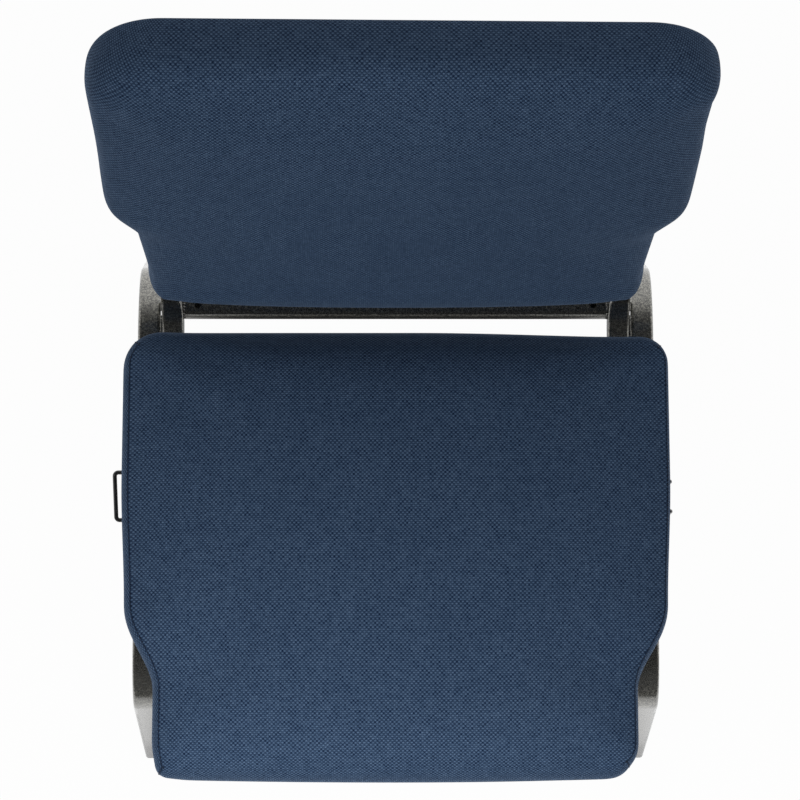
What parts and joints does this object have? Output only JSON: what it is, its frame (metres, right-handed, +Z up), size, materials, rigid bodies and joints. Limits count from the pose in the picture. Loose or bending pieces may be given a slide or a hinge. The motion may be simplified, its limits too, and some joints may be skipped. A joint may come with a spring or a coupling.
{
  "type": "church chair",
  "caption": "Stacking church chair with a bent square-tube frame, notched upholstered seat and back in woven navy cloth, and sliding wire links that join it to the next chair.",
  "frame": {"origin": "on the floor, midway between the chair's sides and midway between the seat's front edge and the rear feet", "axes": "+X to the right in the picture, the sitter's left; +Y to the chair's back, so its front faces -Y; +Z up"},
  "size_m": [0.5512, 0.6194, 0.8747],
  "materials": {
    "frame_coat": "dark hammered vein powder coat",
    "navy_fabric": "navy basket-weave upholstery cloth",
    "foam": "moulded polyurethane foam",
    "plywood": "bare plywood",
    "black_cloth": "non-woven dust cloth",
    "black_plastic": "moulded black plastic",
    "black_wire": "black coated steel wire",
    "zinc_steel": "zinc-plated steel"
  },
  "bodies": {
    "chair_frame": {"back_board": "plywood", "back_bolt_high_left": "zinc_steel", "back_bolt_high_right": "zinc_steel", "back_bolt_low_left": "zinc_steel", "back_bolt_low_right": "zinc_steel", "back_cover": "navy_fabric", "back_foam": "foam", "back_lower_rail": "frame_coat", "back_rear_panel": "plywood", "back_tee_nut_high_left": "zinc_steel", "back_tee_nut_high_right": "zinc_steel", "back_tee_nut_low_left": "zinc_steel", "back_tee_nut_low_right": "zinc_steel", "back_top_rail": "frame_coat", "front_cross_rail": "frame_coat", "glide_front_left": "black_plastic", "glide_front_right": "black_plastic", "glide_rear_left": "black_plastic", "glide_rear_right": "black_plastic", "leg_arch_left": "frame_coat", "leg_arch_right": "frame_coat", "rail_plug_left": "black_plastic", "rail_plug_right": "black_plastic", "rear_cross_rail": "frame_coat", "seat_board": "plywood", "seat_bolt_front_left": "zinc_steel", "seat_bolt_front_right": "zinc_steel", "seat_bolt_rear_left": "zinc_steel", "seat_bolt_rear_right": "zinc_steel", "seat_cover": "navy_fabric", "seat_dust_cover": "black_cloth", "seat_foam": "foam", "seat_tee_nut_front_left": "zinc_steel", "seat_tee_nut_front_right": "zinc_steel", "seat_tee_nut_rear_left": "zinc_steel", "seat_tee_nut_rear_right": "zinc_steel", "side_rail_left": "frame_coat", "side_rail_right": "frame_coat", "stack_bumper_front_left": "black_plastic", "stack_bumper_front_right": "black_plastic", "stack_bumper_rear_left": "black_plastic", "stack_bumper_rear_right": "black_plastic", "weld_spacer_front_left": "frame_coat", "weld_spacer_front_right": "frame_coat", "weld_spacer_rear_left": "frame_coat", "weld_spacer_rear_right": "frame_coat"},
    "ganging_loop": {"ganging_loop": "black_wire", "loop_retainer_front": "zinc_steel", "loop_retainer_rear": "zinc_steel"},
    "ganging_hook": {"ganging_hook": "black_wire", "hook_retainer_front": "zinc_steel", "hook_retainer_rear": "zinc_steel"}
  },
  "joints": [
    {"name": "ganging_loop_slide", "type": "slide", "parent": "chair_frame", "child": "ganging_loop", "axis": [1, 0, 0], "range_m": [0, 0.0135]},
    {"name": "ganging_hook_slide", "type": "slide", "parent": "chair_frame", "child": "ganging_hook", "axis": [-1, 0, 0], "range_m": [0, 0.008]}
  ]
}
